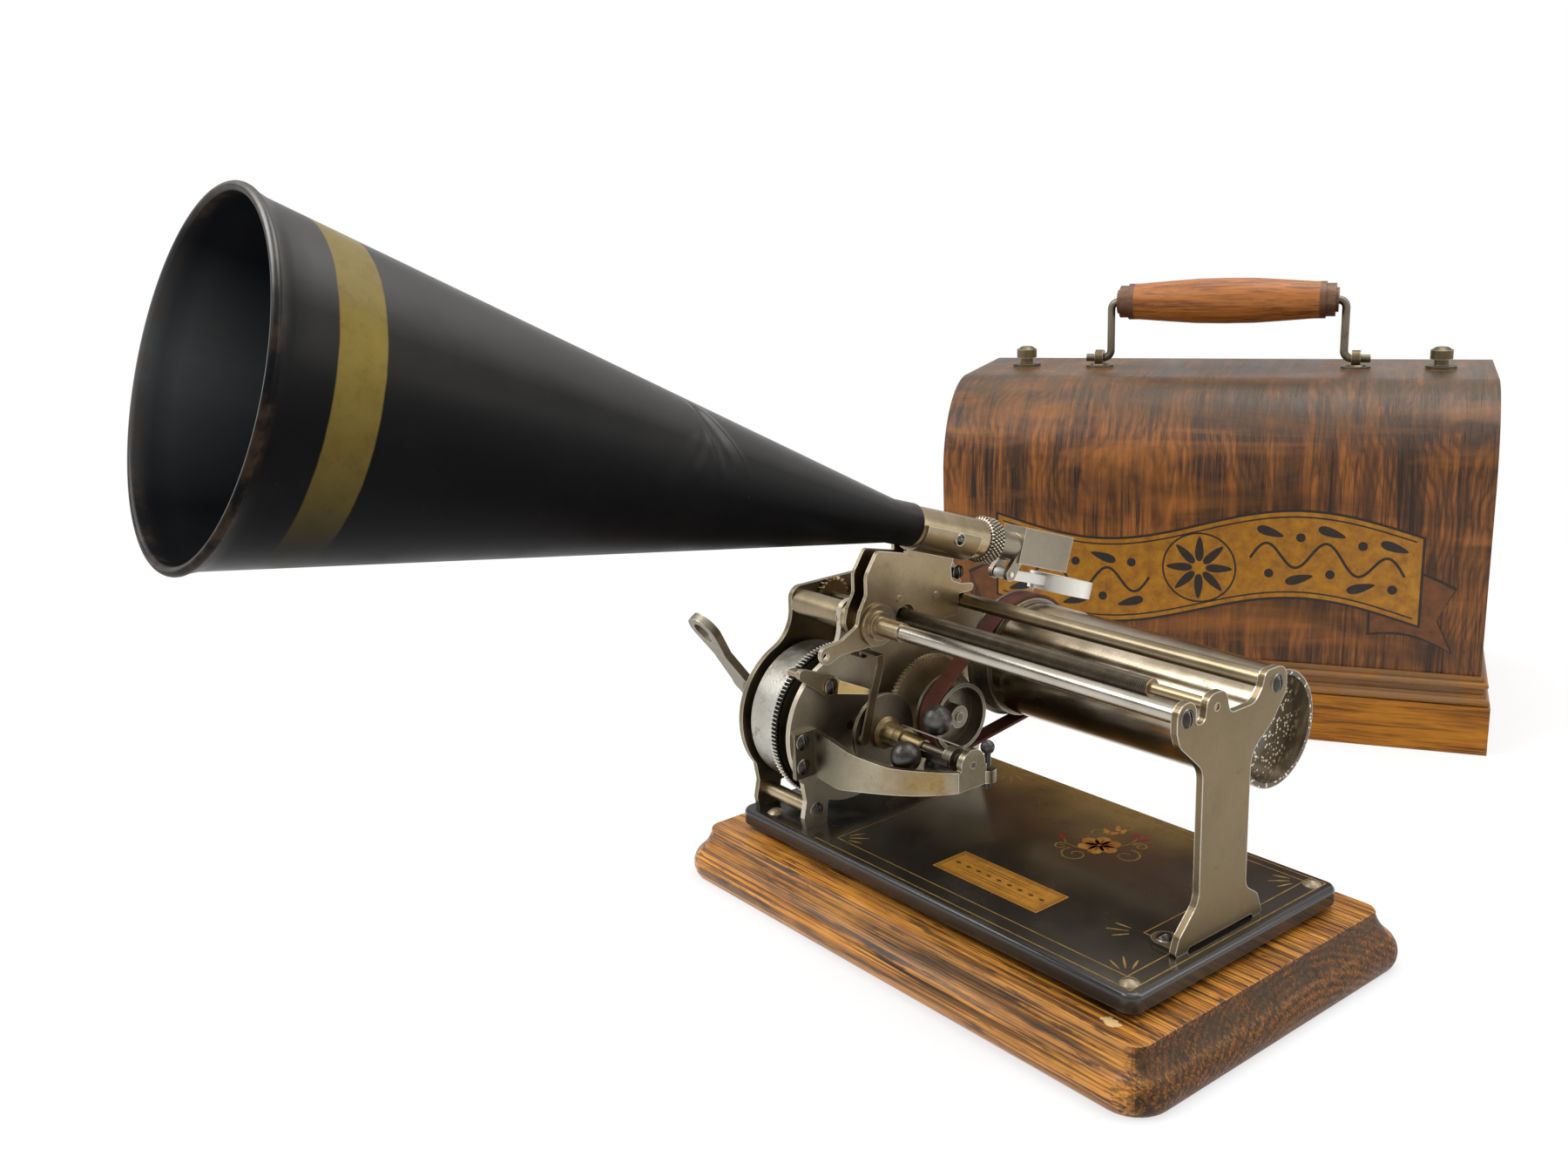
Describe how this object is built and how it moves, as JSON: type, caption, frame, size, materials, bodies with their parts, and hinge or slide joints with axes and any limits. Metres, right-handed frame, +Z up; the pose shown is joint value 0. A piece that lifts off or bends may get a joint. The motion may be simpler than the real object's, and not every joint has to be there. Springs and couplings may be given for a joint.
{
  "type": "cylinder phonograph with horn and carrying cover",
  "caption": "Spring-motor cylinder phonograph on an oak base with open gear train, ball governor, feed-screw carriage, tapered mandrel, black cone horn and a bentwood carrying cover.",
  "frame": {"origin": "middle of the wooden base's underside", "axes": "+X along the rods to the end post, +Y to the rear, +Z up"},
  "size_m": [0.3959, 0.7044, 0.2834],
  "materials": {
    "base_oak": "waxed",
    "cover_oak": "varnished",
    "trim_oak": "varnished",
    "grip_wood": "polished",
    "japan": "gloss",
    "black_iron": "satin",
    "nickel": "aged",
    "steel": "bright",
    "screw_steel": "dark",
    "grey_iron": "pitted",
    "brass": "aged",
    "bright_metal": "polished",
    "belt_leather": "worn"
  },
  "bodies": {
    "base": {"wood_base": "base_oak", "bedplate": "japan", "bedplate_pads": "belt_leather", "frame_screws": "screw_steel", "outer_plate": "nickel", "inner_plate": "nickel", "plate_pillars": "nickel", "rod_spacer": "nickel", "front_rod": "steel", "rear_rod": "nickel", "end_post": "nickel", "rod_screws": "screw_steel", "governor_bracket": "nickel", "friction_leaf": "brass", "click_pawl": "steel", "drive_belt": "belt_leather", "idler_stud": "screw_steel"},
    "speed": {"speed_screw": "black_iron"},
    "brake": {"brake_lever": "nickel", "brake_leaf": "brass"},
    "winder": {"winding_key": "grey_iron", "winding_arbor": "steel", "ratchet_wheel": "steel"},
    "barrel": {"spring_barrel": "grey_iron", "great_gear": "brass", "mainspring": "steel"},
    "second": {"second_arbor": "steel", "second_wheel": "brass"},
    "pulley": {"pulley_arbor": "steel", "governor_wheel": "brass", "belt_pulley": "grey_iron"},
    "governor": {"governor_shaft": "steel", "friction_disc": "black_iron", "governor_hub": "brass", "governor_balls": "black_iron", "governor_springs": "steel"},
    "mandrel": {"mandrel_shell": "grey_iron", "mandrel_shaft": "steel", "mandrel_pulley": "grey_iron", "mandrel_gear": "brass"},
    "idler": {"feed_idler": "brass"},
    "feed": {"feed_screw": "steel", "feed_gear": "brass"},
    "sleeve": {"carriage_sleeve": "nickel"},
    "carriage": {"carriage_plates": "nickel", "horn_tube": "nickel", "feed_nut": "brass", "clamp_screw": "screw_steel", "reproducer_body": "bright_metal"},
    "ring": {"knurled_ring": "nickel"},
    "float": {"reproducer_weight": "bright_metal"},
    "horn": {"horn": "japan"},
    "cover": {"cover_shell": "cover_oak", "cover_ends": "cover_oak", "cover_frame": "trim_oak", "cover_studs": "brass", "eyebolts": "brass"},
    "handle": {"handle_bails": "steel", "handle_grip": "grip_wood"}
  },
  "joints": [
    {"name": "mandrel_turn", "type": "hinge", "parent": "base", "child": "mandrel", "pos_m": [-0.08, 0.048, 0.0835], "axis": [1, 0, 0], "continuous": true},
    {"name": "pulley_turn", "type": "hinge", "parent": "base", "child": "pulley", "pos_m": [-0.08, 0.0084, 0.0674], "axis": [1, 0, 0], "continuous": true},
    {"name": "second_turn", "type": "hinge", "parent": "base", "child": "second", "pos_m": [-0.08, 0.00305, 0.04791], "axis": [1, 0, 0], "continuous": true},
    {"name": "barrel_turn", "type": "hinge", "parent": "base", "child": "barrel", "pos_m": [-0.08, -0.0265, 0.0665], "axis": [1, 0, 0], "continuous": true},
    {"name": "governor_turn", "type": "hinge", "parent": "base", "child": "governor", "pos_m": [-0.04, -0.02041, 0.06549], "axis": [1, 0, 0], "continuous": true},
    {"name": "idler_turn", "type": "hinge", "parent": "base", "child": "idler", "pos_m": [-0.094, 0.01723, 0.093], "axis": [1, 0, 0], "continuous": true},
    {"name": "feed_turn", "type": "hinge", "parent": "base", "child": "feed", "pos_m": [-0.08, -0.0096, 0.1108], "axis": [1, 0, 0], "continuous": true},
    {"name": "key_turn", "type": "hinge", "parent": "base", "child": "winder", "pos_m": [-0.11, -0.0265, 0.0665], "axis": [1, 0, 0], "continuous": true},
    {"name": "brake_swing", "type": "hinge", "parent": "base", "child": "brake", "pos_m": [-0.064, -0.0383, 0.0863], "axis": [1, 0, 0], "range_deg": [0, 10]},
    {"name": "speed_turn", "type": "hinge", "parent": "base", "child": "speed", "pos_m": [-0.0042, -0.01141, 0.06549], "axis": [0, 0, 1], "range_deg": [-180, 180]},
    {"name": "carriage_slide", "type": "slide", "parent": "base", "child": "sleeve", "axis": [1, 0, 0], "range_m": [0, 0.12]},
    {"name": "carriage_lift", "type": "hinge", "parent": "sleeve", "child": "carriage", "pos_m": [-0.057, -0.0246, 0.1108], "axis": [1, 0, 0], "range_deg": [0, 20]},
    {"name": "ring_turn", "type": "hinge", "parent": "carriage", "child": "ring", "pos_m": [-0.0488, 0.03265, 0.13394], "axis": [0, 0.9489, -0.3156], "range_deg": [0, 90]},
    {"name": "reproducer_float", "type": "hinge", "parent": "carriage", "child": "float", "pos_m": [-0.0488, 0.04326, 0.1183], "axis": [1, 0, 0], "range_deg": [0, 3]},
    {"name": "horn_off", "type": "slide", "parent": "carriage", "child": "horn", "axis": [0, -0.9489, 0.3156], "range_m": [0, 0.014]},
    {"name": "cover_lift", "type": "slide", "parent": "base", "child": "cover", "axis": [0, 0, 1], "range_m": [0, 0.2]},
    {"name": "handle_swing", "type": "hinge", "parent": "cover", "child": "handle", "pos_m": [-0.116, 0.281, 0.176], "axis": [0.8686, 0.4955, 0], "range_deg": [-75, 75]}
  ],
  "couplings": [
    {"joint": "pulley_turn", "follows": "mandrel_turn", "ratio": 1.7114},
    {"joint": "second_turn", "follows": "mandrel_turn", "ratio": -0.34763},
    {"joint": "barrel_turn", "follows": "mandrel_turn", "ratio": 0.03766},
    {"joint": "governor_turn", "follows": "mandrel_turn", "ratio": -5.012},
    {"joint": "idler_turn", "follows": "mandrel_turn", "ratio": -0.31429},
    {"joint": "feed_turn", "follows": "mandrel_turn", "ratio": 1}
  ]
}
